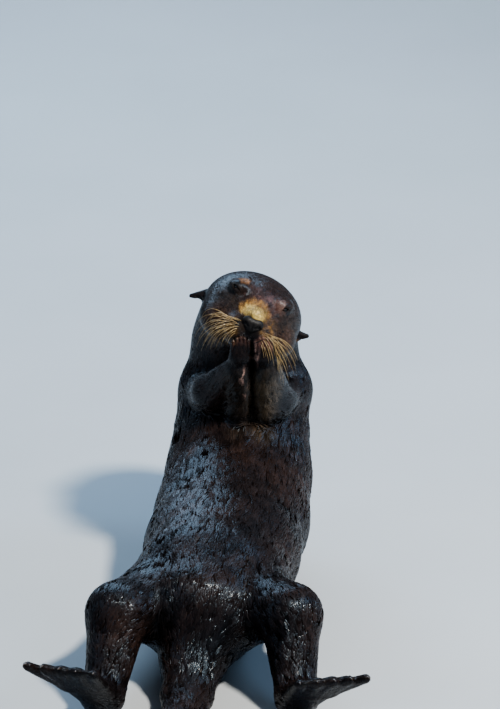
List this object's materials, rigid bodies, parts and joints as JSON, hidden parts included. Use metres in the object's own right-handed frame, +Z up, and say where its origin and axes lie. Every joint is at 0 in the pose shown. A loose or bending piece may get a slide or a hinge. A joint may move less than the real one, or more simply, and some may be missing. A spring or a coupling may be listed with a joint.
{
  "type": "life-size sea otter model",
  "caption": "Life-size sea otter that lies on its back with its head and chest raised and both forepaws held together at its mouth.",
  "frame": {"origin": "on the floor, in the middle of the flat of the back that the otter lies on, under its centre of mass", "axes": "+Z up, the otter faces -Y and its hind feet point to -Y, its own left side is +X"},
  "size_m": [0.4618, 0.844, 0.4402],
  "materials": {
    "body_fur": "wet, dark brown, clumped fur",
    "face_fur": "wet dark brown fur, golden at the muzzle",
    "ear_fur": "short dark brown fur",
    "paw_fur": "short wet fur, nearly black",
    "foot_fur": "short wet fur, nearly black",
    "nose_pad": "bare wet black skin",
    "eye": "wet, glossy, nearly black"
  },
  "bodies": {
    "root": {"head": "face_fur", "neck": "body_fur", "chest": "body_fur", "belly": "body_fur", "hips": "body_fur", "tail": "body_fur", "left_ear": "ear_fur", "right_ear": "ear_fur", "left_eye": "eye", "right_eye": "eye", "nose": "nose_pad", "left_upper_arm": "body_fur", "right_upper_arm": "body_fur", "left_forearm": "body_fur", "right_forearm": "body_fur", "left_forepaw": "paw_fur", "right_forepaw": "paw_fur", "left_hind_leg": "body_fur", "right_hind_leg": "body_fur", "left_hind_foot": "foot_fur", "right_hind_foot": "foot_fur"}
  },
  "joints": []
}
